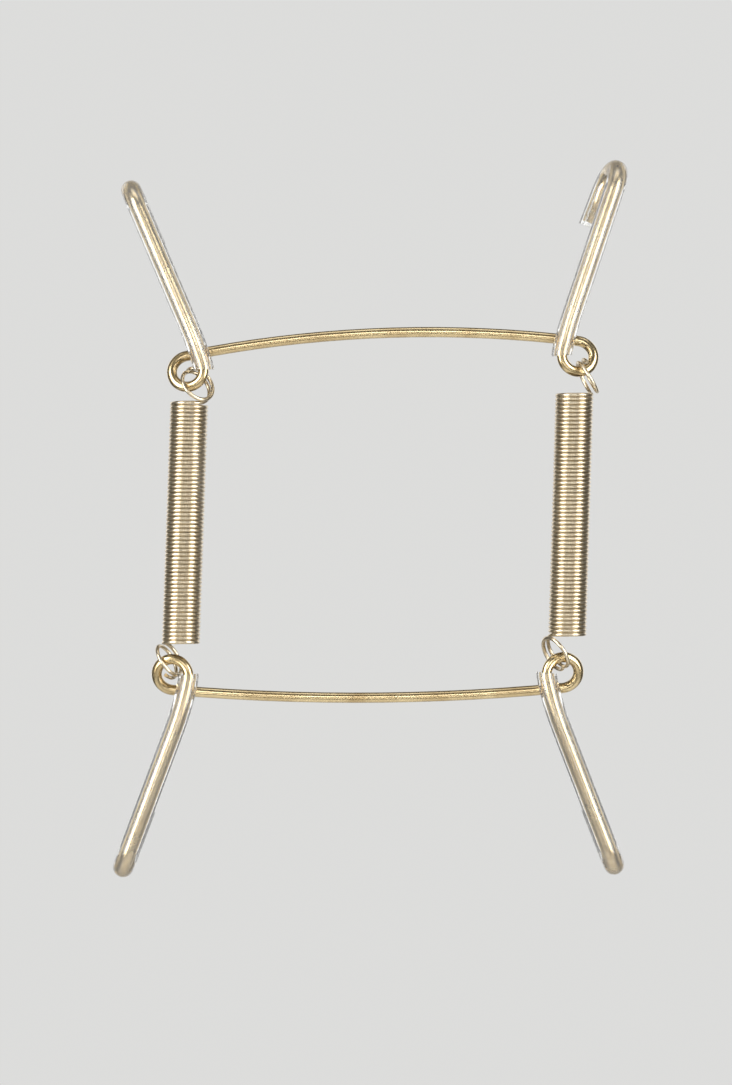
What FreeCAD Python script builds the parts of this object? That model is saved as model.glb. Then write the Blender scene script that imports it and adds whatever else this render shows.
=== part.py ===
"""Sprung wire plate hanger: two bent wires with hooked arms, two extension springs and four clear sleeves.

Millimetres, +Z up, +X to the right of someone who looks at the wall side, +Y towards the plate.
The origin is the middle of the upper bow, where the hanger hangs on its wall hook.
"""
import FreeCAD
import Part

import math
import os

from FreeCAD import Placement, Rotation, Vector

ACROSS = Vector(1, 0, 0)
TO_PLATE = Vector(0, 1, 0)
UP = Vector(0, 0, 1)
LEFT, RIGHT = -1, 1
SIDE_NAMES = {LEFT: "left", RIGHT: "right"}
EYE_BENDS = 3
COIL_SIDE_COUNT = 6
TURNS_PER_FACE = 1.0

SIZES = {
    # plated wire
    "wire_diameter": 1.6,
    "eye_span": 58.8,
    "eye_radius": 2.6,
    "eye_bare_turn": 255.0,
    "eye_sleeved_turn": 17.0,
    "eye_first_roll": 20.0,
    "eye_second_roll": 12.0,
    "upper_bow_rise": 2.3,
    "lower_bow_rise": 1.3,
    # arms and rim hooks
    "arm_splay": 21.0,
    "arm_rake": 8.0,
    "arm_bend_radius": 35.0,
    "arm_run": 19.4,
    "hook_radius": 3.8,
    "hook_turn": 170.0,
    "hook_tip": 5.0,
    "upper_right_twist": 12.0,
    # clear sleeves
    "sleeve_outside": 3.1,
    "sleeve_clearance": 0.35,
    "sleeve_overhang": 0.6,
    # extension springs
    "spring_wire": 0.585,
    "coil_clearance": 0.02,
    "coil_diameter": 5.22,
    "coil_turns": 60.42,
    "loop_turns": 1.6,
    "loop_pitch": 0.95,
    "loop_lift": 60.0,
    # which way each top loop leaves its coil
    "left_loop_azimuth": -52.49,
    "right_loop_azimuth": 1.43,
    # where each loop hangs: degrees of turn round its eye, and the loop's play across and towards the plate
    "left_upper_link": 171.48,
    "left_upper_across": 0.85,
    "left_upper_depth": 0.92,
    "left_lower_link": 158.28,
    "left_lower_across": 0.65,
    "left_lower_depth": 1.02,
    "right_upper_link": 163.72,
    "right_upper_across": 0.7,
    "right_upper_depth": 0.19,
    "right_lower_link": 181.97,
    "right_lower_across": -0.05,
    "right_lower_depth": -0.11,
    "link_slack": 1.37,
    # how the two wires lie to each other
    "upper_turn": 2.2,
    "lower_turn": 0.3,
    "lower_shift": -2.1,
}


def make_sheet(doc):
    """Write the driving sizes to a spreadsheet, one aliased cell each."""
    sheet = doc.addObject("Spreadsheet::Sheet", "Sizes")
    for row, (name, value) in enumerate(SIZES.items(), start=1):
        sheet.set(f"A{row}", name)
        sheet.set(f"B{row}", str(value))
        sheet.setAlias(f"B{row}", name)
    doc.recompute()
    return sheet


class WirePath:
    """A wire's centre line, bent step by step as on a wire former."""

    def __init__(self, point, heading):
        self.point = Vector(point)
        self.heading = Vector(heading).normalize()
        self.edges = []

    def straight(self, length):
        end = self.point + self.heading * length
        self.edges.append(Part.LineSegment(self.point, end).toShape())
        self.point = end

    def bend(self, angle, radius, towards):
        """Bend by an angle, with the centre of the bend on the side that towards points to."""
        inward = across_heading(towards, self.heading)
        start, heading = self.point, self.heading

        def point_at(degrees):
            turn = math.radians(degrees)
            return start + inward * (radius * (1 - math.cos(turn))) + heading * (radius * math.sin(turn))

        self.point = point_at(angle)
        self.edges.append(Part.Arc(start, point_at(angle / 2), self.point).toShape())
        turn = math.radians(angle)
        self.heading = heading * math.cos(turn) + inward * math.sin(turn)

    def turn_to(self, heading, radius):
        self.bend(math.degrees(self.heading.getAngle(heading)), radius, heading)


def across_heading(vector, heading):
    """The unit vector along the part of a vector that lies across a heading."""
    return (vector - heading * vector.dot(heading)).normalize()


def bow_radius(half_span, rise):
    return (half_span ** 2 + rise ** 2) / (2 * rise)


def bow_and_eye(sheet, rise, side, eye_turn):
    """Path from the middle of a bow through its eye on one side, as far as eye_turn degrees round the eye."""
    half_span = sheet.eye_span / 2
    radius = bow_radius(half_span, rise)
    path = WirePath(Vector(0, 0, 0), ACROSS * side)
    path.bend(math.degrees(math.asin(half_span / (radius - sheet.eye_radius))), radius, -UP)
    rolls = (sheet.eye_first_roll, sheet.eye_second_roll, 0.0)
    bend_turn = sheet.eye_bare_turn / EYE_BENDS
    for index, roll in enumerate(rolls):
        turn = min(bend_turn, eye_turn - index * bend_turn)
        if turn <= 0:
            break
        inward = path.heading.cross(TO_PLATE).normalize() * -side
        to_wall = -across_heading(TO_PLATE, path.heading)
        lean = math.radians(roll)
        path.bend(turn, sheet.eye_radius, inward * math.cos(lean) + to_wall * math.sin(lean))
    return path


def add_arm(sheet, path, side, twist, tip_length):
    """Carry a path on from the eye along the sleeved arm, round the rim hook and to the tip."""
    path.bend(sheet.eye_sleeved_turn, sheet.eye_radius, path.heading.cross(TO_PLATE) * -side)
    splay, rake = math.radians(sheet.arm_splay), math.radians(sheet.arm_rake)
    in_plane = ACROSS * (side * math.sin(splay)) + UP * math.cos(splay)
    path.turn_to(in_plane * math.cos(rake) + TO_PLATE * math.sin(rake), sheet.arm_bend_radius)
    path.straight(sheet.arm_run)
    to_plate = across_heading(TO_PLATE, path.heading)
    to_middle = path.heading.cross(TO_PLATE).normalize() * side
    turned = math.radians(twist)
    path.bend(sheet.hook_turn, sheet.hook_radius, to_plate * math.cos(turned) + to_middle * math.sin(turned))
    path.straight(tip_length)


def wire_path(sheet, rise, twists):
    """Edges of one whole wire from its left tip to its right tip, and the left tip with its outward heading."""
    bow_ends, legs, tips = {}, {}, {}
    for side in (LEFT, RIGHT):
        path = bow_and_eye(sheet, rise, side, sheet.eye_bare_turn)
        bow_ends[side] = path.edges[0].lastVertex().Point
        add_arm(sheet, path, side, twists[side], sheet.hook_tip)
        legs[side] = path.edges[1:]
        tips[side] = (path.point, path.heading)
    bow = Part.Arc(bow_ends[LEFT], Vector(0, 0, 0), bow_ends[RIGHT]).toShape()
    return legs[LEFT][::-1] + [bow] + legs[RIGHT], tips[LEFT]


def sleeve_path(sheet, rise, side, twist):
    """Edges of one sleeve's centre line, and its first point with the heading there."""
    path = bow_and_eye(sheet, rise, side, sheet.eye_bare_turn)
    start = (Vector(path.point), Vector(path.heading))
    path.edges = []
    add_arm(sheet, path, side, twist, sheet.hook_tip + sheet.sleeve_overhang)
    return path.edges, start


def add_path(doc, name, edges, frame):
    path = doc.addObject("Part::Feature", name + "_path")
    path.Shape = Part.Wire(edges)
    path.Placement = frame
    return path


def sweep_round(doc, name, path, frame, start, radius):
    """Sweep a circle along a path; radius is an expression of the sheet's sizes."""
    point, heading = start
    profile = doc.addObject("Part::Circle", name + "_profile")
    profile.setExpression("Radius", radius)
    profile.Placement = frame.multiply(Placement(point, Rotation(UP, heading)))
    return sweep(doc, name, path, profile)


def sweep(doc, name, path, profile):
    solid = doc.addObject("Part::Sweep", name)
    solid.Sections = [profile]
    solid.Spine = (path, [])
    solid.Solid = True
    solid.Frenet = path.TypeId == "Part::Helix"
    return solid


def make_wire(doc, sheet, name, rise, twists, frame):
    """One bent wire: bow, two eyes, two arms and two hooks."""
    edges, start = wire_path(sheet, rise, twists)
    path = add_path(doc, name, edges, frame)
    return sweep_round(doc, name, path, frame, start, "Sizes.wire_diameter / 2")


def make_sleeve(doc, sheet, name, rise, side, twist, frame):
    """One clear tube over an arm and its hook, open at both ends."""
    edges, start = sleeve_path(sheet, rise, side, twist)
    path = add_path(doc, name, edges, frame)
    sleeve = doc.addObject("Part::Cut", name)
    sleeve.Base = sweep_round(doc, name + "_outside", path, frame, start, "Sizes.sleeve_outside / 2")
    sleeve.Tool = sweep_round(doc, name + "_bore", path, frame, start,
                              "Sizes.wire_diameter / 2 + Sizes.sleeve_clearance")
    return sleeve


def coil_pitch(sheet):
    return sheet.spring_wire + sheet.coil_clearance


def helix_slope(sheet, pitch):
    """Degrees by which a helix of the coil's diameter climbs."""
    return math.degrees(math.atan2(pitch, math.pi * sheet.coil_diameter))


def loop_placements(sheet):
    """Placements of the top and bottom loops in the spring's own frame, with the coil rising from Z = 0.

    Each loop carries the coil's wire on, turned about the wire's direction at the coil's end.
    """
    radius, pitch = sheet.coil_diameter / 2, coil_pitch(sheet)
    wire_direction = Vector(0, math.pi * sheet.coil_diameter, pitch)
    same_slope = Rotation(ACROSS, helix_slope(sheet, pitch) - helix_slope(sheet, sheet.loop_pitch))
    raised = Rotation(wire_direction, sheet.loop_lift).multiply(same_slope)
    lift = Placement(Vector(0, 0, 0), raised, Vector(radius, 0, 0))
    top_end = Placement(UP * (pitch * sheet.coil_turns), Rotation(UP, 360 * sheet.coil_turns))
    bottom_end = Placement(Vector(0, 0, 0), Rotation(ACROSS, 180))
    return top_end.multiply(lift), bottom_end.multiply(lift)


def link_point(sheet, side, end, frame):
    """Middle of a spring's loop: a place on its eye's centre line, moved by the play that the loop has there."""
    own_side = side if end == "upper" else -side
    loop = f"{SIDE_NAMES[side]}_{end}"
    eye = bow_and_eye(sheet, getattr(sheet, f"{end}_bow_rise"), own_side, getattr(sheet, f"{loop}_link"))
    play = ACROSS * getattr(sheet, f"{loop}_across") + TO_PLATE * getattr(sheet, f"{loop}_depth")
    return frame.multVec(eye.point) + play


def loop_centres(sheet):
    return [placement.Base for placement in loop_placements(sheet)]


def lower_frame_placement(sheet, upper_frame):
    """Where the lower wire hangs: the springs' loops reach both pairs of eyes with the same mean slack."""
    turned = Rotation(TO_PLATE, 180 - sheet.lower_turn)
    unhung = Placement(ACROSS * sheet.lower_shift, turned)
    top, bottom = loop_centres(sheet)
    reach = (top - bottom).Length + sheet.link_slack
    drops = []
    for side in (LEFT, RIGHT):
        upper = link_point(sheet, side, "upper", upper_frame)
        lower = link_point(sheet, side, "lower", unhung)
        sideways = math.hypot(upper.x - lower.x, upper.y - lower.y)
        drops.append(upper.z - lower.z - math.sqrt(reach ** 2 - sideways ** 2))
    return Placement(ACROSS * sheet.lower_shift + UP * (sum(drops) / len(drops)), turned)


def spring_placement(sheet, side, upper_frame, lower_frame):
    """Place a spring midway between the two eyes that it links."""
    upper = link_point(sheet, side, "upper", upper_frame)
    lower = link_point(sheet, side, "lower", lower_frame)
    top, bottom = loop_centres(sheet)
    azimuth = getattr(sheet, f"{SIDE_NAMES[side]}_loop_azimuth")
    about_axis = Rotation(UP, azimuth - 360 * sheet.coil_turns)
    aligned = Rotation(about_axis.multVec(top - bottom), upper - lower).multiply(about_axis)
    return Placement((upper + lower) * 0.5 - aligned.multVec((top + bottom) * 0.5), aligned)


def sweep_helix(doc, sheet, name, pitch, turns, frame):
    """Sweep the spring wire, drawn with a few flats, along a helix that starts on the frame's X axis.

    Pitch and turns are expressions of the sheet's sizes.
    """
    helix = doc.addObject("Part::Helix", name + "_helix")
    helix.setExpression("Radius", "Sizes.coil_diameter / 2")
    helix.setExpression("Pitch", pitch)
    helix.setExpression("Height", f"({pitch}) * {turns}")
    helix.SegmentLength = TURNS_PER_FACE
    helix.Placement = frame
    doc.recompute()
    profile = doc.addObject("Part::RegularPolygon", name + "_profile")
    profile.Polygon = COIL_SIDE_COUNT
    profile.setExpression("Circumradius", "Sizes.spring_wire / 2")
    slope = helix_slope(sheet, helix.Pitch.Value)
    across_wire = Placement(ACROSS * (sheet.coil_diameter / 2), Rotation(ACROSS, slope - 90))
    profile.Placement = frame.multiply(across_wire)
    return sweep(doc, name, helix, profile)


def make_spring(doc, sheet, name, frame):
    """One extension spring: a close coil that ends in a raised loop at each end."""
    coil_pitch_size = "Sizes.spring_wire + Sizes.coil_clearance"
    loop_pitch_size, loop_turns_size = "Sizes.loop_pitch", "Sizes.loop_turns"
    top, bottom = loop_placements(sheet)
    loops = {"_top_loop": frame.multiply(top), "_bottom_loop": frame.multiply(bottom)}
    coil = sweep_helix(doc, sheet, name + "_coil", coil_pitch_size, "Sizes.coil_turns", frame)
    spring = doc.addObject("Part::MultiFuse", name)
    spring.Shapes = [coil] + [sweep_helix(doc, sheet, name + end, loop_pitch_size, loop_turns_size, loop_frame)
                              for end, loop_frame in loops.items()]
    return spring


def make_frame(doc, sheet, name, rise, frame, turned_over):
    """A bent wire and its two sleeves; turned over, the wire's own left is on the right."""
    own_side = -1 if turned_over else 1
    twists = {LEFT: 0.0, RIGHT: 0.0 if turned_over else sheet.upper_right_twist}
    pieces = [make_wire(doc, sheet, f"{name}_wire", rise, twists, frame)]
    for side, side_name in SIDE_NAMES.items():
        own = side * own_side
        pieces.append(make_sleeve(doc, sheet, f"{name}_{side_name}_sleeve", rise, own, twists[own], frame))
    return pieces


def check(doc, pieces):
    """Stop on any failed object or bad shape."""
    for item in doc.Objects:
        if "Invalid" in item.State or "Error" in item.State:
            raise RuntimeError(f"{item.Name} failed: {item.State}")
    for piece in pieces:
        if piece.Shape.isNull() or not piece.Shape.isValid() or len(piece.Shape.Solids) != 1:
            raise RuntimeError(f"{piece.Label} is not one valid solid")


def main():
    doc = FreeCAD.newDocument("PlateHanger")
    sheet = make_sheet(doc)
    upper_frame = Placement(Vector(0, 0, 0), Rotation(TO_PLATE, -sheet.upper_turn))
    lower_frame = lower_frame_placement(sheet, upper_frame)
    pieces = make_frame(doc, sheet, "upper", sheet.upper_bow_rise, upper_frame, turned_over=False)
    pieces += make_frame(doc, sheet, "lower", sheet.lower_bow_rise, lower_frame, turned_over=True)
    for side, side_name in SIDE_NAMES.items():
        frame = spring_placement(sheet, side, upper_frame, lower_frame)
        pieces.append(make_spring(doc, sheet, f"{side_name}_spring", frame))
    doc.recompute()
    check(doc, pieces)
    os.makedirs("parts", exist_ok=True)
    for piece in pieces:
        piece.Shape.exportStep(f"parts/{piece.Label}.step")
        print(piece.Label, "volume", round(piece.Shape.Volume, 2), "faces", len(piece.Shape.Faces))


main()
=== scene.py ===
"""Looks of a sprung wire plate hanger: plated wires, clear vinyl sleeves and close-wound springs."""
import logging
import math
from dataclasses import dataclass
from enum import Enum
from typing import Any

import bmesh
import bpy
import numpy as np
from mathutils import Matrix, Vector
from mathutils.bvhtree import BVHTree


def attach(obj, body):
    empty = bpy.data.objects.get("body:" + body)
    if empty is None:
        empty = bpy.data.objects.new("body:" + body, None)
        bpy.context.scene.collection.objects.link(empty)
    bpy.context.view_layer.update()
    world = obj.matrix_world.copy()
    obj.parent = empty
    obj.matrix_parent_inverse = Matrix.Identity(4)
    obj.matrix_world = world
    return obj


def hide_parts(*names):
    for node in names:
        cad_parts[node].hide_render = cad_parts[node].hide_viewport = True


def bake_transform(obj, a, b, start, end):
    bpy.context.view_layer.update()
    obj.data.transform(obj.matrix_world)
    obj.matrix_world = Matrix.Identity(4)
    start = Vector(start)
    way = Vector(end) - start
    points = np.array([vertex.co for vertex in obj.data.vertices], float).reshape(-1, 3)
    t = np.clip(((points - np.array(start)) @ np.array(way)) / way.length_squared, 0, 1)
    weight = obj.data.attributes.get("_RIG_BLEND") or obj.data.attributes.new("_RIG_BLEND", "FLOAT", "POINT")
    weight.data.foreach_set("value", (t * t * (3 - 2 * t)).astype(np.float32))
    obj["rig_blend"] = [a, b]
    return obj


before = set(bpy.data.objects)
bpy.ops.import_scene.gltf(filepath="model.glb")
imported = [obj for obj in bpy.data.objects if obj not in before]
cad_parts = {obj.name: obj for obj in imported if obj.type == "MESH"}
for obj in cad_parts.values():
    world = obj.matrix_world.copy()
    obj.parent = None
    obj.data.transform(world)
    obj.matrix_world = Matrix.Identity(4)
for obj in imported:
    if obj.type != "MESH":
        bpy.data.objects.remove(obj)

LOG = logging.getLogger("plate_hanger")
MM = 0.001

STRETCH_SHARE = "stretch"
TURNS_ALONG = "along"
BLEND_SHARE = "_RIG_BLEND"

Colour = tuple[float, float, float]
Paint = tuple[float, float, float, float]
Place = tuple[float, float, float]
Span = tuple[float, float]
Socket = bpy.types.NodeSocket
Feed = Socket | float
Inputs = dict[str | int, Any]

WHITE: Colour = (1.0, 1.0, 1.0)


class Side(Enum):
    """The two sides of the hanger, as seen from the wall."""

    LEFT = "left"
    RIGHT = "right"


class Tier(Enum):
    """The two bent wires."""

    UPPER = "upper"
    LOWER = "lower"

    @property
    def body(self) -> str:
        """Name of the body that carries this wire."""
        return f"{self.value}_frame"


class MixKind(Enum):
    """What a Mix node mixes: its data type, and the places of its two inputs and of its output."""

    NUMBERS = ("FLOAT", 2, 3, 0)
    COLOURS = ("RGBA", 6, 7, 2)


class Nodes:
    """Short way to add nodes to a node tree and link them."""

    def __init__(self, tree: bpy.types.NodeTree) -> None:
        """Keep the tree that the nodes go into."""
        self.tree = tree

    def feed(self, node: bpy.types.Node, inputs: Inputs) -> None:
        """Link or set inputs of a node.

        Args:
            node: The node.
            inputs: A value, or another node's output, for each input by its name or place.
        """
        for name, value in inputs.items():
            if isinstance(value, Socket):
                self.tree.links.new(value, node.inputs[name])
            else:
                node.inputs[name].default_value = value

    def add(self, kind: str, inputs: Inputs | None = None, **options: Any) -> bpy.types.Node:
        """Add one node.

        Args:
            kind: Blender's type name of the node.
            inputs: A value, or another node's output, for each input by its name or place.
            options: Values for the node's own options.

        Returns:
            The new node.
        """
        node = self.tree.nodes.new(kind)
        for name, value in options.items():
            setattr(node, name, value)
        self.feed(node, inputs or {})
        return node

    def output(self, kind: str, inputs: Inputs | None = None, **options: Any) -> Socket:
        """First output of a new node."""
        return self.add(kind, inputs, **options).outputs[0]

    def math(self, operation: str, first: Feed, second: Feed = 0.0) -> Socket:
        """Output of a Math node on one or two numbers."""
        return self.output("ShaderNodeMath", {0: first, 1: second}, operation=operation)

    def grade(self, value: Feed, start: Span, end: Span = (0.0, 1.0), **options: Any) -> Socket:
        """Output of a Map Range node that takes the span start to the span end."""
        return self.output("ShaderNodeMapRange", {
            0: value, 1: start[0], 2: start[1], 3: end[0], 4: end[1]}, **options)

    def mix(self, kind: MixKind, share: Feed, first: Feed | Paint, second: Feed | Paint) -> Socket:
        """Output of a Mix node.

        Args:
            kind: Whether numbers or colours are mixed.
            share: Share of the second one.
            first: Number or colour at share 0.
            second: Number or colour at share 1.

        Returns:
            The mixed number or colour.
        """
        data_type, first_place, second_place, output_place = kind.value
        inputs = {0: share, first_place: first, second_place: second}
        return self.add("ShaderNodeMix", inputs, data_type=data_type).outputs[output_place]


def opaque(colour: Colour) -> Paint:
    """The colour with full alpha."""
    return (*colour, 1.0)


def add_object(name: str, data: bpy.types.ID) -> bpy.types.Object:
    """Put a new object into the scene.

    Args:
        name: Name of the object.
        data: Its mesh, lamp or camera.

    Returns:
        The object.
    """
    added = bpy.data.objects.new(name, data)
    bpy.context.scene.collection.objects.link(added)
    return added


def new_material(name: str) -> tuple[bpy.types.Material, Nodes, bpy.types.Node]:
    """Make a material with a plain shader.

    Args:
        name: Name of the material.

    Returns:
        The material, its nodes and its shader.
    """
    material = bpy.data.materials.new(name)
    material.use_nodes = True
    return material, Nodes(material.node_tree), material.node_tree.nodes["Principled BSDF"]


def new_group(name: str, kind: str, inputs: dict[str, tuple[str, Any]], outputs: dict[str, str]) -> Nodes:
    """Make a node group with named sockets.

    Args:
        name: Name of the group.
        kind: Blender's type name of the node tree.
        inputs: Socket type of each input, and its value or None.
        outputs: Socket type of each output.

    Returns:
        The empty group, ready for nodes.
    """
    tree = bpy.data.node_groups.new(name, kind)
    for label, (socket_type, value) in inputs.items():
        socket = tree.interface.new_socket(label, in_out="INPUT", socket_type=socket_type)
        if value is not None:
            socket.default_value = value
    for label, socket_type in outputs.items():
        tree.interface.new_socket(label, in_out="OUTPUT", socket_type=socket_type)
    return Nodes(tree)


@dataclass(frozen=True)
class Plating:
    """The shared look of thin bright plating: tint, dull patches and fine scratches."""

    patch_detail: float = 4.0
    patch_roughness: float = 0.6
    scratch_detail: float = 3.0
    scratch_roughness: float = 0.7
    worn_span: Span = (0.42, 0.68)
    worn_share: float = 0.65
    scratch_share: float = 0.35

    def group(self) -> bpy.types.NodeTree:
        """Build the node group.

        Returns:
            A group with a colour, a roughness and a height for a bump.
        """
        nodes = new_group("plating", "ShaderNodeTree", {
            "Bright": ("NodeSocketColor", None),
            "Dull": ("NodeSocketColor", None),
            "Polish": ("NodeSocketFloat", None),
            "Haze": ("NodeSocketFloat", None),
            "Patch Scale": ("NodeSocketFloat", None),
            "Scratch Scale": ("NodeSocketFloat", None),
            "Along": ("NodeSocketFloat", 0.0),
        }, {"Color": "NodeSocketColor", "Roughness": "NodeSocketFloat", "Height": "NodeSocketFloat"})
        given = nodes.add("NodeGroupInput").outputs
        place = nodes.add("ShaderNodeTexCoord").outputs["Object"]
        patches, scratches = (
            nodes.output("ShaderNodeTexNoise", {
                "Vector": place, "W": given["Along"], "Scale": given[scale],
                "Detail": detail, "Roughness": roughness,
            }, noise_dimensions="4D")
            for scale, detail, roughness in (
                ("Patch Scale", self.patch_detail, self.patch_roughness),
                ("Scratch Scale", self.scratch_detail, self.scratch_roughness),
            )
        )
        worn = nodes.math("MULTIPLY", nodes.grade(patches, self.worn_span), self.worn_share)
        speck = nodes.math("MULTIPLY", scratches, self.scratch_share)
        share = nodes.math("MINIMUM", nodes.math("ADD", worn, speck), 1.0)
        colour = nodes.mix(MixKind.COLOURS, share, given["Bright"], given["Dull"])
        rough = nodes.math("ADD", given["Polish"], nodes.math("MULTIPLY", share, given["Haze"]))
        nodes.add("NodeGroupOutput", {"Color": colour, "Roughness": rough, "Height": scratches})
        return nodes.tree


@dataclass(frozen=True)
class PlatedFinish:
    """Brass-plated steel wire, bare or under clear lacquer."""

    name: str
    bright: Colour
    dull: Colour
    polish: float
    haze: float
    patch_scale: float
    scratch_scale: float
    bump: float
    bump_depth: float = 0.02 * MM
    lacquer: float = 0.0
    lacquer_haze: float = 0.16
    along: str | None = None

    def material(self, plating: bpy.types.NodeTree) -> bpy.types.Material:
        """Build the material.

        Args:
            plating: The shared plating group.

        Returns:
            The finished material.
        """
        material, nodes, shader = new_material(self.name)
        look = nodes.add("ShaderNodeGroup", {
            "Bright": opaque(self.bright),
            "Dull": opaque(self.dull),
            "Polish": self.polish,
            "Haze": self.haze,
            "Patch Scale": self.patch_scale,
            "Scratch Scale": self.scratch_scale,
        }, node_tree=plating)
        if self.along:
            along = nodes.add("ShaderNodeAttribute", attribute_name=self.along, attribute_type="GEOMETRY")
            nodes.feed(look, {"Along": along.outputs["Fac"]})
        bump = nodes.output("ShaderNodeBump", {
            "Height": look.outputs["Height"], "Strength": self.bump, "Distance": self.bump_depth})
        nodes.feed(shader, {
            "Base Color": look.outputs["Color"],
            "Roughness": look.outputs["Roughness"],
            "Normal": bump,
            "Metallic": 1.0,
            "Coat Weight": self.lacquer,
            "Coat Roughness": self.lacquer_haze,
        })
        return material


@dataclass(frozen=True)
class VinylFinish:
    """Clear soft vinyl tube, a little hazy from handling and faintly rippled."""

    name: str
    tint: Colour
    ior: float
    clarity: float
    gloss: float
    haze: float
    handling_scale: float = 320.0
    handling_detail: float = 4.0
    handling_span: Span = (0.4, 0.75)
    ripple_scale: float = 900.0
    ripple_detail: float = 2.0
    ripple_bump: float = 0.02
    ripple_depth: float = 0.05 * MM

    def material(self) -> bpy.types.Material:
        """Build the material.

        Returns:
            The finished material.
        """
        material, nodes, shader = new_material(self.name)
        place = nodes.add("ShaderNodeTexCoord").outputs["Object"]
        handling = nodes.output("ShaderNodeTexNoise", {
            "Vector": place, "Scale": self.handling_scale, "Detail": self.handling_detail})
        ripple = nodes.output("ShaderNodeTexNoise", {
            "Vector": place, "Scale": self.ripple_scale, "Detail": self.ripple_detail})
        bump = nodes.output("ShaderNodeBump", {
            "Height": ripple, "Strength": self.ripple_bump, "Distance": self.ripple_depth})
        nodes.feed(shader, {
            "Base Color": nodes.mix(MixKind.COLOURS, handling, opaque(self.tint), opaque(WHITE)),
            "Roughness": nodes.grade(handling, self.handling_span, (self.gloss, self.haze)),
            "Normal": bump,
            "IOR": self.ior,
            "Transmission Weight": self.clarity,
        })
        return material


@dataclass
class SmoothNode:
    """A rigid solid shown with smooth faces: a joined copy of its CAD node."""

    node: str
    body: str
    slot: str
    sharp_angle: float = math.radians(40.0)
    join_within: float = 1e-7

    def build(self, material: bpy.types.Material) -> bpy.types.Object:
        """Make the copy and hand it to its body.

        Args:
            material: Finish of the piece.

        Returns:
            The finished piece.
        """
        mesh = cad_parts[self.node].data.copy()
        mesh.name = f"{self.node}_smooth"
        solid = bmesh.new()
        solid.from_mesh(mesh)
        bmesh.ops.remove_doubles(solid, verts=solid.verts, dist=self.join_within)
        self.shape(solid)
        solid.to_mesh(mesh)
        solid.free()
        mesh.shade_smooth()
        mesh.set_sharp_from_angle(angle=self.sharp_angle)
        mesh.materials.clear()
        mesh.materials.append(material)
        piece = add_object(mesh.name, mesh)
        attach(piece, self.body)
        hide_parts(self.node)
        return piece

    def shape(self, solid: bmesh.types.BMesh) -> None:
        """Leave the solid as it is."""


@dataclass(kw_only=True)
class Sleeve(SmoothNode):
    """A clear tube whose soft bore clings to the wire in it.

    A face belongs to the bore where it faces the wire by more than facing, a cosine. The bore goes in by
    its gap to the wire, looked for within reach, and by the cling on top.
    """

    wire: str
    cling: float = 0.05 * MM
    facing: float = 0.5
    reach: float = 0.6 * MM

    def shape(self, solid: bmesh.types.BMesh) -> None:
        """Draw the bore in onto the wire, so that no air is left between them.

        Args:
            solid: The joined tube.
        """
        core = bmesh.new()
        core.from_mesh(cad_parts[self.wire].data)
        surface = BVHTree.FromBMesh(core)
        core.free()
        inward: dict[bmesh.types.BMVert, Vector] = {}
        for face in solid.faces:
            centre = face.calc_center_median()
            to_wire = surface.find_nearest(centre)[0] - centre
            if face.normal.dot(to_wire.normalized()) > self.facing:
                for vert in face.verts:
                    inward[vert] = inward.get(vert, Vector()) + face.normal
        gaps = {vert: surface.ray_cast(vert.co, way, self.reach)[3] for vert, way in inward.items()}
        usual = float(np.median([gap for gap in gaps.values() if gap is not None]))
        for vert, way in inward.items():
            gap = usual if gaps[vert] is None else gaps[vert]
            vert.co += way.normalized() * (gap + self.cling)


@dataclass
class WireFrame:
    """One bent wire and the sleeves on its two arms."""

    tier: Tier

    def build(self, wire: bpy.types.Material, vinyl: bpy.types.Material) -> list[bpy.types.Object]:
        """Build the wire and its sleeves.

        Args:
            wire: Finish of the wire.
            vinyl: Finish of the sleeves.

        Returns:
            The three pieces.
        """
        name, body = self.tier.value, self.tier.body
        pieces = [SmoothNode(f"{name}_wire", body, "plated_wire").build(wire)]
        for side in Side:
            sleeve = Sleeve(f"{name}_{side.value}_sleeve", body, "clear_vinyl", wire=f"{name}_wire")
            pieces.append(sleeve.build(vinyl))
        return pieces


def mesh_points(mesh: bpy.types.Mesh) -> np.ndarray:
    """Read the vertices of a mesh.

    Args:
        mesh: The mesh.

    Returns:
        Their places as rows.
    """
    points = np.zeros(len(mesh.vertices) * 3, np.float32)
    mesh.vertices.foreach_get("co", points)
    return points.reshape(-1, 3).astype(float)


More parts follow.
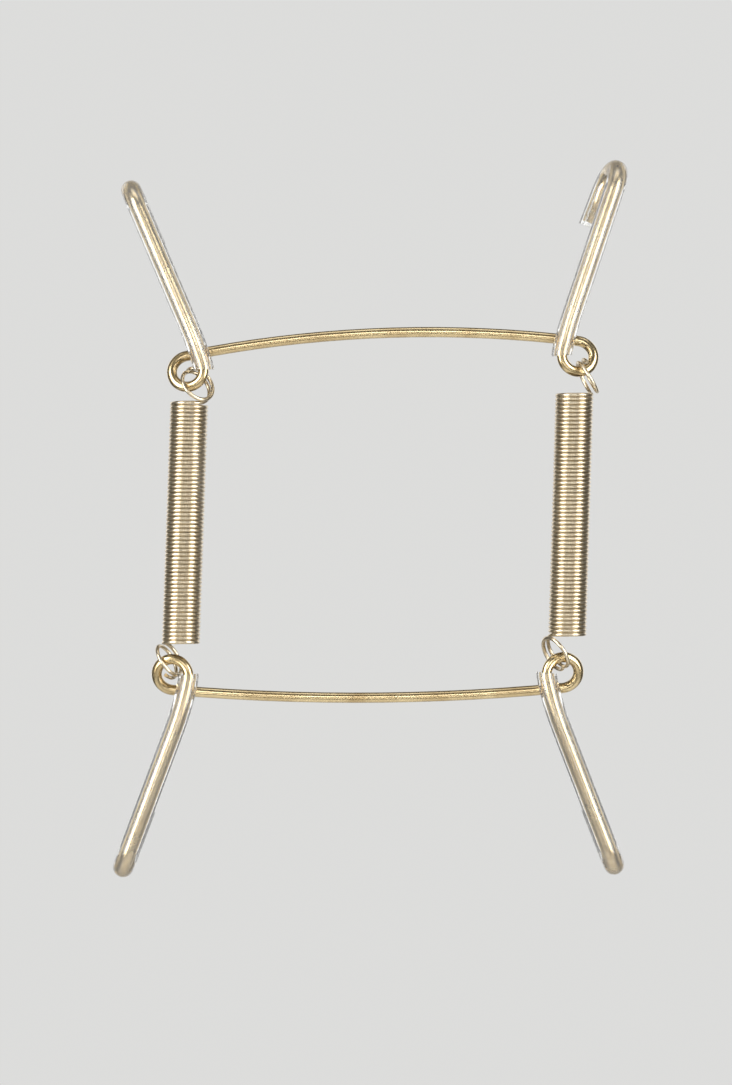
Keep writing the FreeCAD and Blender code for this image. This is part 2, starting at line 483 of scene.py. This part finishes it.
@dataclass
class Spring:
    """An extension spring of round wire: a close coil that ends in a raised loop at each end.

    The two bands are shares of the spring's height that lie well inside the coil, and its top loop starts
    at loop_margin times half the coil's length.
    """

    side: Side
    wire_diameter: float = 0.585 * MM
    coil_clearance: float = 0.02 * MM
    coil_diameter: float = 5.22 * MM
    coil_turns: float = 60.42
    loop_turns: float = 1.6
    loop_pitch: float = 0.95 * MM
    loop_lift: float = math.radians(60.0)
    points_per_turn: int = 48
    wire_sides: int = 12
    lower_band: Span = (0.25, 0.45)
    upper_band: Span = (0.55, 0.75)
    loop_margin: float = 1.03

    @property
    def node(self) -> str:
        """Name of the CAD node that this spring stands for."""
        return f"{self.side.value}_spring"

    @property
    def pitch(self) -> float:
        """Rise of the coil in one turn."""
        return self.wire_diameter + self.coil_clearance

    @property
    def coil_half(self) -> float:
        """Half the length of the coil between its loops."""
        return self.pitch * self.coil_turns / 2

    @property
    def slope_change(self) -> float:
        """Angle between the coil's climb and the loops' climb."""
        around = math.pi * self.coil_diameter
        return math.atan2(self.pitch, around) - math.atan2(self.loop_pitch, around)

    def tree(self) -> bpy.types.NodeTree:
        """Build the geometry tree: points along the rule of the spring, then round wire along them.

        Returns:
            The tree, with the spring's sizes as named inputs.
        """
        nodes = new_group(f"{self.node}_winding", "GeometryNodeTree", {
            "Coil Radius": ("NodeSocketFloat", self.coil_diameter / 2),
            "Pitch": ("NodeSocketFloat", self.pitch),
            "Turns": ("NodeSocketFloat", self.coil_turns),
            "Loop Turns": ("NodeSocketFloat", self.loop_turns),
            "Loop Pitch": ("NodeSocketFloat", self.loop_pitch),
            "Slope Change": ("NodeSocketFloat", self.slope_change),
            "Loop Lift": ("NodeSocketFloat", self.loop_lift),
            "Wire Radius": ("NodeSocketFloat", self.wire_diameter / 2),
            "Points per Turn": ("NodeSocketInt", self.points_per_turn),
            "Wire Sides": ("NodeSocketInt", self.wire_sides),
            "Material": ("NodeSocketMaterial", None),
        }, {"Geometry": "NodeSocketGeometry"})
        given = nodes.add("NodeGroupInput").outputs
        line, turn = self.line_of_points(nodes, given)
        place = self.place_points(nodes, given, turn)
        laid = nodes.output("GeometryNodeSetPosition", {"Geometry": line, "Position": place})
        hung = nodes.math("SUBTRACT", 1.0, nodes.math("DIVIDE", turn, given["Turns"]))
        hung = nodes.output("ShaderNodeClamp", {"Value": hung, "Min": 0.0, "Max": 1.0})
        for name, value in ((STRETCH_SHARE, hung), (TURNS_ALONG, turn)):
            laid = nodes.output("GeometryNodeStoreNamedAttribute", {
                "Geometry": laid, "Name": name, "Value": value}, data_type="FLOAT", domain="POINT")
        curve = nodes.output("GeometryNodeMeshToCurve", {"Mesh": laid})
        section = nodes.output("GeometryNodeCurvePrimitiveCircle", {
            "Resolution": given["Wire Sides"], "Radius": given["Wire Radius"]}, mode="RADIUS")
        wire = nodes.output("GeometryNodeCurveToMesh", {
            "Curve": curve, "Profile Curve": section, "Fill Caps": True})
        smooth = nodes.output("GeometryNodeSetShadeSmooth", {"Geometry": wire})
        real = nodes.output("GeometryNodeRealizeInstances", {"Geometry": smooth})
        dressed = nodes.output("GeometryNodeSetMaterial", {"Geometry": real, "Material": given["Material"]})
        nodes.add("NodeGroupOutput", {"Geometry": dressed})
        return nodes.tree

    @staticmethod
    def line_of_points(nodes: Nodes, given: bpy.types.NodeOutputs) -> tuple[Socket, Socket]:
        """Add the line of points that becomes the wire.

        Args:
            nodes: The tree to add to.
            given: The tree's inputs.

        Returns:
            The line, and each point's turns from the bottom of the coil.
        """
        both_loops = nodes.math("MULTIPLY", given["Loop Turns"], 2.0)
        all_turns = nodes.math("ADD", both_loops, given["Turns"])
        last = nodes.math("ROUND", nodes.math("MULTIPLY", all_turns, given["Points per Turn"]))
        line = nodes.output("GeometryNodeMeshLine", {"Count": nodes.math("ADD", last, 1.0)})
        share = nodes.math("DIVIDE", nodes.output("GeometryNodeInputIndex"), last)
        turn = nodes.math("SUBTRACT", nodes.math("MULTIPLY", share, all_turns), given["Loop Turns"])
        return line, turn

    def place_points(self, nodes: Nodes, given: bpy.types.NodeOutputs, turn: Socket) -> Socket:
        """Wind the points into the coil, and raise the loops at its ends.

        Args:
            nodes: The tree to add to.
            given: The tree's inputs.
            turn: Each point's turns from the bottom of the coil.

        Returns:
            Each point's place.
        """
        in_coil = nodes.output("ShaderNodeClamp", {"Value": turn, "Min": 0.0, "Max": given["Turns"]})
        coil_rise = nodes.math("MULTIPLY", in_coil, given["Pitch"])
        loop_rise = nodes.math("MULTIPLY", nodes.math("SUBTRACT", turn, in_coil), given["Loop Pitch"])
        wound = self.helix(nodes, given, turn, nodes.math("ADD", coil_rise, loop_rise))[0]
        coil_length = nodes.math("MULTIPLY", given["Turns"], given["Pitch"])
        top = self.helix(nodes, given, given["Turns"], coil_length)
        foot = self.helix(nodes, given, 0.0, 0.0)
        drop = nodes.math("MULTIPLY", given["Loop Lift"], -1.0)
        top_loop = self.raise_loop(nodes, wound, top, given["Slope Change"], given["Loop Lift"])
        bottom_loop = self.raise_loop(nodes, wound, foot, given["Slope Change"], drop)
        over = nodes.math("GREATER_THAN", turn, given["Turns"])
        under = nodes.math("LESS_THAN", turn, 0.0)
        place = wound
        for past_end, loop in ((over, top_loop), (under, bottom_loop)):
            place = nodes.output("GeometryNodeSwitch", {
                "Switch": past_end, "False": place, "True": loop}, input_type="VECTOR")
        return place

    @staticmethod
    def helix(nodes: Nodes, given: bpy.types.NodeOutputs, turn: Feed, height: Feed) -> tuple[Socket, ...]:
        """Add a point of the winding.

        Args:
            nodes: The tree to add to.
            given: The tree's inputs.
            turn: Turns from the bottom of the coil.
            height: Height of the point.

        Returns:
            The point, the way that the coil's wire runs there and the way out from the axis.
        """
        angle = nodes.math("MULTIPLY", turn, math.tau)
        cosine, sine = nodes.math("COSINE", angle), nodes.math("SINE", angle)
        radius = given["Coil Radius"]
        point = nodes.output("ShaderNodeCombineXYZ", {
            "X": nodes.math("MULTIPLY", cosine, radius),
            "Y": nodes.math("MULTIPLY", sine, radius),
            "Z": height,
        })
        round_way = nodes.math("MULTIPLY", radius, math.tau)
        way = nodes.output("ShaderNodeCombineXYZ", {
            "X": nodes.math("MULTIPLY", nodes.math("MULTIPLY", sine, round_way), -1.0),
            "Y": nodes.math("MULTIPLY", cosine, round_way),
            "Z": given["Pitch"],
        })
        outward = nodes.output("ShaderNodeCombineXYZ", {"X": cosine, "Y": sine})
        return point, way, outward

    @staticmethod
    def raise_loop(
        nodes: Nodes, wound: Socket, end: tuple[Socket, ...], slope_change: Feed, lift: Feed,
    ) -> Socket:
        """Bend the winding up into a loop at one end of the coil.

        Args:
            nodes: The tree to add to.
            wound: Points of the winding.
            end: Point, wire's way and outward way at the coil's end.
            slope_change: Angle that lets the loop leave the coil without a kink.
            lift: Angle of the loop to the coil's turns.

        Returns:
            The points of the raised loop.
        """
        point, way, outward = end
        level = nodes.output("ShaderNodeVectorRotate", {
            "Vector": wound, "Center": point, "Axis": outward, "Angle": slope_change})
        return nodes.output("ShaderNodeVectorRotate", {
            "Vector": level, "Center": point, "Axis": way, "Angle": lift})

    def wind(self, material: bpy.types.Material) -> bpy.types.Mesh:
        """Wind the spring in its own frame.

        Args:
            material: Finish of the spring.

        Returns:
            A plain mesh of the wound wire.
        """
        name = f"{self.node}_maker"
        maker = add_object(name, bpy.data.meshes.new(name))
        modifier = maker.modifiers.new("winding", "NODES")
        modifier.node_group = self.tree()
        identifiers = {item.name: item.identifier for item in modifier.node_group.interface.items_tree}
        modifier[identifiers["Material"]] = material
        graph = bpy.context.evaluated_depsgraph_get()
        mesh = bpy.data.meshes.new_from_object(maker.evaluated_get(graph))
        bpy.data.objects.remove(maker)
        return mesh

    def lie(self, mesh: bpy.types.Mesh) -> Matrix:
        """Measure how a spring lies.

        Args:
            mesh: The spring, with its top up.

        Returns:
            Its frame: origin at the middle, Z up the coil, X the way that the top loop leans.
        """
        points = mesh_points(mesh)
        low, high = points[:, 2].min(), points[:, 2].max()
        share = (points[:, 2] - low) / (high - low)
        lower, upper = (
            points[(share > start) & (share < end)].mean(axis=0)
            for start, end in (self.lower_band, self.upper_band)
        )
        axis = (upper - lower) / np.linalg.norm(upper - lower)
        middle = (lower + upper) / 2
        height = (points - middle) @ axis
        middle = middle + axis * (height.min() + height.max()) / 2
        height = (points - middle) @ axis
        lean = points[height > self.coil_half * self.loop_margin].mean(axis=0) - middle
        lean = lean - axis * (lean @ axis)
        lean = lean / np.linalg.norm(lean)
        matrix = np.eye(4)
        matrix[:3] = np.stack([lean, np.cross(axis, lean), axis, middle], axis=1)
        return Matrix(matrix.tolist())

    def build(self, material: bpy.types.Material) -> bpy.types.Object:
        """Wind the spring, lay it on its CAD node and let it stretch between the two wires.

        Args:
            material: Finish of the spring.

        Returns:
            The finished piece.
        """
        mesh = self.wind(material)
        mesh.name = f"{self.side.value}_coil"
        seat = self.lie(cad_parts[self.node].data)
        mesh.transform(seat @ self.lie(mesh).inverted())
        piece = add_object(mesh.name, mesh)
        up = seat.to_3x3() @ Vector((0.0, 0.0, self.coil_half))
        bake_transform(piece, Tier.UPPER.body, Tier.LOWER.body,
                 start=seat.translation + up, end=seat.translation - up)
        self.share_stretch(mesh)
        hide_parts(self.node)
        return piece

    @staticmethod
    def share_stretch(mesh: bpy.types.Mesh) -> None:
        """Let each turn move by its place along the wire, so that the gaps open and the wire stays round.

        Args:
            mesh: The laid spring, already set to blend between the two wires.
        """
        shares = np.zeros(len(mesh.vertices), np.float32)
        mesh.attributes[STRETCH_SHARE].data.foreach_get("value", shares)
        mesh.attributes[BLEND_SHARE].data.foreach_set("value", shares)


@dataclass(frozen=True)
class Lamp:
    """One soft box, placed from the middle of the picture."""

    name: str
    place: Place
    size: Span
    power: float

    def build(self, target: Vector) -> None:
        """Hang the soft box.

        Args:
            target: Point that it shines on.
        """
        data = bpy.data.lights.new(self.name, "AREA")
        data.shape = "RECTANGLE"
        data.size, data.size_y = self.size
        data.energy = self.power
        lamp = add_object(self.name, data)
        lamp.location = target + Vector(self.place)
        lamp.rotation_euler = (target - lamp.location).to_track_quat("-Z", "Y").to_euler()


@dataclass
class Studio:
    """Floor, soft light, pale backdrop and the camera of the photograph's view.

    The lights of the room are shares of the backdrop's own. Metal and vinyl see the backdrop behind the
    hanger and the dim light elsewhere. The edge gives the two depths between which the one goes over into
    the other, where a depth is 1 straight behind the hanger, 0 at its sides and -1 straight in front.
    """

    image: tuple[int, int] = (732, 1085)
    pixel: float = 0.152 * MM
    bow_pixel: Span = (381.5, 333.0)
    camera_distance: float = 0.8
    camera_sensor: float = 36.0
    camera_clip: Span = (0.01, 20.0)
    floor_drop: float = 0.7
    floor_reach: float = 0.85
    floor_fade: float = 0.2
    floor_segments: int = 96
    floor_roughness: float = 0.7
    floor_colour: Colour = (0.74, 0.74, 0.73)
    backdrop_colour: Colour = (0.72, 0.72, 0.71)
    backdrop_light: float = 1.0
    backdrop_edge: Span = (0.6, 0.95)
    dim_light: float = 0.09
    room_light: float = 0.5
    lamps: tuple[Lamp, ...] = (
        Lamp("left_box", (-0.60, -0.47, 0.12), (0.36, 0.90), 8.4),
        Lamp("right_box", (0.62, -0.47, 0.10), (0.34, 0.90), 7.6),
        Lamp("front_box", (0.0, -0.95, 0.28), (0.44, 0.22), 1.5),
        Lamp("low_left_box", (-0.15, -0.95, -0.30), (0.18, 0.22), 0.55),
        Lamp("low_right_box", (0.15, -0.95, -0.30), (0.18, 0.22), 0.55),
        Lamp("top_box", (0.0, -0.10, 0.75), (0.70, 0.35), 1.2),
        Lamp("back_left_box", (-0.48, 0.66, 0.20), (0.30, 0.80), 0.8),
        Lamp("back_right_box", (0.48, 0.66, 0.20), (0.30, 0.80), 0.8),
    )

    def build(self) -> None:
        """Set up the whole studio."""
        centre_x = (self.image[0] / 2 - self.bow_pixel[0]) * self.pixel
        centre_z = -(self.image[1] / 2 - self.bow_pixel[1]) * self.pixel
        centre = Vector((centre_x, 0.0, centre_z))
        self.build_camera(centre)
        self.build_floor(centre)
        self.build_world()
        for lamp in self.lamps:
            lamp.build(centre)
        bpy.context.scene.view_settings.view_transform = "Standard"

    def build_camera(self, centre: Vector) -> None:
        """Set the camera straight in front of the wall side.

        Args:
            centre: Point in the middle of the picture.
        """
        data = bpy.data.cameras.new("camera")
        data.sensor_width = self.camera_sensor
        picture_height = self.image[1] * self.pixel
        data.lens = data.sensor_width * self.camera_distance / picture_height
        data.clip_start, data.clip_end = self.camera_clip
        camera = add_object("camera", data)
        camera.location = centre - Vector((0.0, self.camera_distance, 0.0))
        camera.rotation_euler = (math.pi / 2, 0.0, 0.0)
        bpy.context.scene.camera = camera

    def build_floor(self, centre: Vector) -> None:
        """Lay a plain round floor below the hanger.

        Args:
            centre: Point above the floor's middle.
        """
        middle = Vector((centre.x, 0.0, centre.z - self.floor_drop))
        mesh = bpy.data.meshes.new("floor")
        disc = bmesh.new()
        bmesh.ops.create_circle(disc, cap_ends=True, radius=self.floor_reach, segments=self.floor_segments)
        disc.to_mesh(mesh)
        disc.free()
        mesh.transform(Matrix.Translation(middle))
        mesh.materials.append(self.floor_material(middle))
        floor = add_object("floor", mesh)

    def floor_material(self, middle: Vector) -> bpy.types.Material:
        """Build the floor's finish: matt and pale, and fading into the backdrop towards its rim.

        Args:
            middle: The floor's middle.

        Returns:
            The finished material.
        """
        material, nodes, shader = new_material("floor")
        nodes.feed(shader, {"Base Color": opaque(self.floor_colour), "Roughness": self.floor_roughness})
        place = nodes.add("ShaderNodeTexCoord").outputs["Object"]
        away = nodes.add("ShaderNodeVectorMath", {0: place, 1: middle}, operation="DISTANCE").outputs["Value"]
        rim = nodes.grade(away, (self.floor_fade, self.floor_reach), interpolation_type="SMOOTHSTEP")
        rays = nodes.add("ShaderNodeLightPath").outputs
        seen = nodes.math("MAXIMUM", rays["Is Camera Ray"], rays["Is Transmission Ray"])
        share = nodes.math("MULTIPLY", rim, seen)
        pale = nodes.output("ShaderNodeEmission", {
            "Color": opaque(self.backdrop_colour), "Strength": self.backdrop_light})
        surface = nodes.output("ShaderNodeMixShader", {0: share, 1: shader.outputs[0], 2: pale})
        nodes.feed(material.node_tree.nodes["Material Output"], {"Surface": surface})
        return material

    def build_world(self) -> None:
        """Light the room softly, and give the shiny wires dark edges.

        The camera sees the backdrop all round. Metal and vinyl see it behind the hanger only.
        """
        world = bpy.data.worlds.new("room")
        world.use_nodes = True
        world.node_tree.nodes.clear()
        nodes = Nodes(world.node_tree)
        rays = nodes.add("ShaderNodeLightPath").outputs
        mirrored = nodes.math("MAXIMUM", rays["Is Glossy Ray"], rays["Is Transmission Ray"])
        way = nodes.add("ShaderNodeTexCoord").outputs["Generated"]
        depth = nodes.add("ShaderNodeSeparateXYZ", {"Vector": way}).outputs["Y"]
        lights = (self.dim_light, self.backdrop_light)
        graded = nodes.grade(depth, self.backdrop_edge, lights, interpolation_type="SMOOTHSTEP")
        unseen = nodes.mix(MixKind.NUMBERS, mirrored, self.room_light, graded)
        strength = nodes.math("MAXIMUM", unseen, rays["Is Camera Ray"])
        pale = nodes.output("ShaderNodeBackground", {
            "Color": opaque(self.backdrop_colour), "Strength": strength})
        nodes.add("ShaderNodeOutputWorld", {"Surface": pale})
        bpy.context.scene.world = world


WIRE_FINISH = PlatedFinish(
    name="plated_wire",
    bright=(0.76, 0.605, 0.335),
    dull=(0.43, 0.297, 0.128),
    polish=0.24,
    haze=0.1,
    patch_scale=160.0,
    scratch_scale=2600.0,
    bump=0.03,
    lacquer=1.0,
)
SPRING_FINISH = PlatedFinish(
    name="spring_wire",
    bright=(0.80, 0.706, 0.538),
    dull=(0.465, 0.369, 0.231),
    polish=0.26,
    haze=0.12,
    patch_scale=220.0,
    scratch_scale=3200.0,
    bump=0.1,
    along=TURNS_ALONG,
)
VINYL_FINISH = VinylFinish(
    name="clear_vinyl",
    tint=(0.98, 0.98, 0.96),
    ior=1.5,
    clarity=0.92,
    gloss=0.12,
    haze=0.18,
)


def main() -> None:
    logging.basicConfig(level=logging.INFO)
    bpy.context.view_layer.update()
    plating = Plating().group()
    wire = WIRE_FINISH.material(plating)
    coil = SPRING_FINISH.material(plating)
    vinyl = VINYL_FINISH.material()
    pieces: list[bpy.types.Object] = []
    for tier in Tier:
        pieces.extend(WireFrame(tier).build(wire, vinyl))
    for side in Side:
        pieces.append(Spring(side).build(coil))
    for piece in pieces:
        LOG.info("%s: %d faces", piece.name, len(piece.data.polygons))
    Studio().build()


if __name__ == "__main__":
    main()
